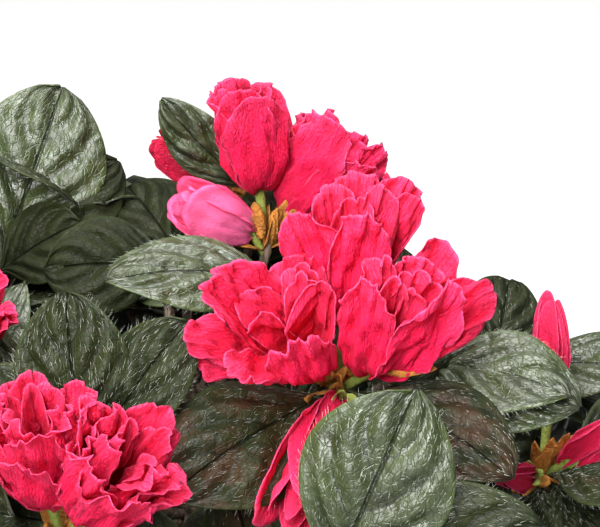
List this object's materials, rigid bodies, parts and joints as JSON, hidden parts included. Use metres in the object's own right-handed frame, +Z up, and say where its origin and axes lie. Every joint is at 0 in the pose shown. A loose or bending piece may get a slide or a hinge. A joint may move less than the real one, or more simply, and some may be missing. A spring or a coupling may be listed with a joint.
{
  "type": "potted azalea shrub",
  "caption": "Azalea shrub in full flower, a low rounded crown of leaves and double blooms on a short trunk in a plain clay pot.",
  "frame": {"origin": "middle of the pot's flat underside, on the ground that the pot stands on", "axes": "+Z up along the pot's axis; -Y is the side of the crown that the picture looks at; +X to the right in the picture"},
  "size_m": [0.2663, 0.2692, 0.3385],
  "materials": {
    "clay": "unglazed, dusty matte",
    "peat": "coarse matte",
    "bark": "rough matte bark",
    "foliage": "leathery leaves with a soft grey-green sheen, and pink-red petals"
  },
  "bodies": {
    "root": {"clay_pot": "clay", "potting_soil": "peat", "trunk": "bark", "bough_front": "bark", "bough_right": "bark", "bough_back_right": "bark", "bough_back_left": "bark", "bough_left": "bark", "bough_low_front": "bark", "bough_low_right": "bark", "bough_low_back": "bark", "bough_low_left": "bark", "foliage_crown_top": "foliage", "foliage_front": "foliage", "foliage_right": "foliage", "foliage_back_right": "foliage", "foliage_back_left": "foliage", "foliage_left": "foliage", "foliage_low_front": "foliage", "foliage_low_right": "foliage", "foliage_low_back": "foliage", "foliage_low_left": "foliage"}
  },
  "joints": []
}
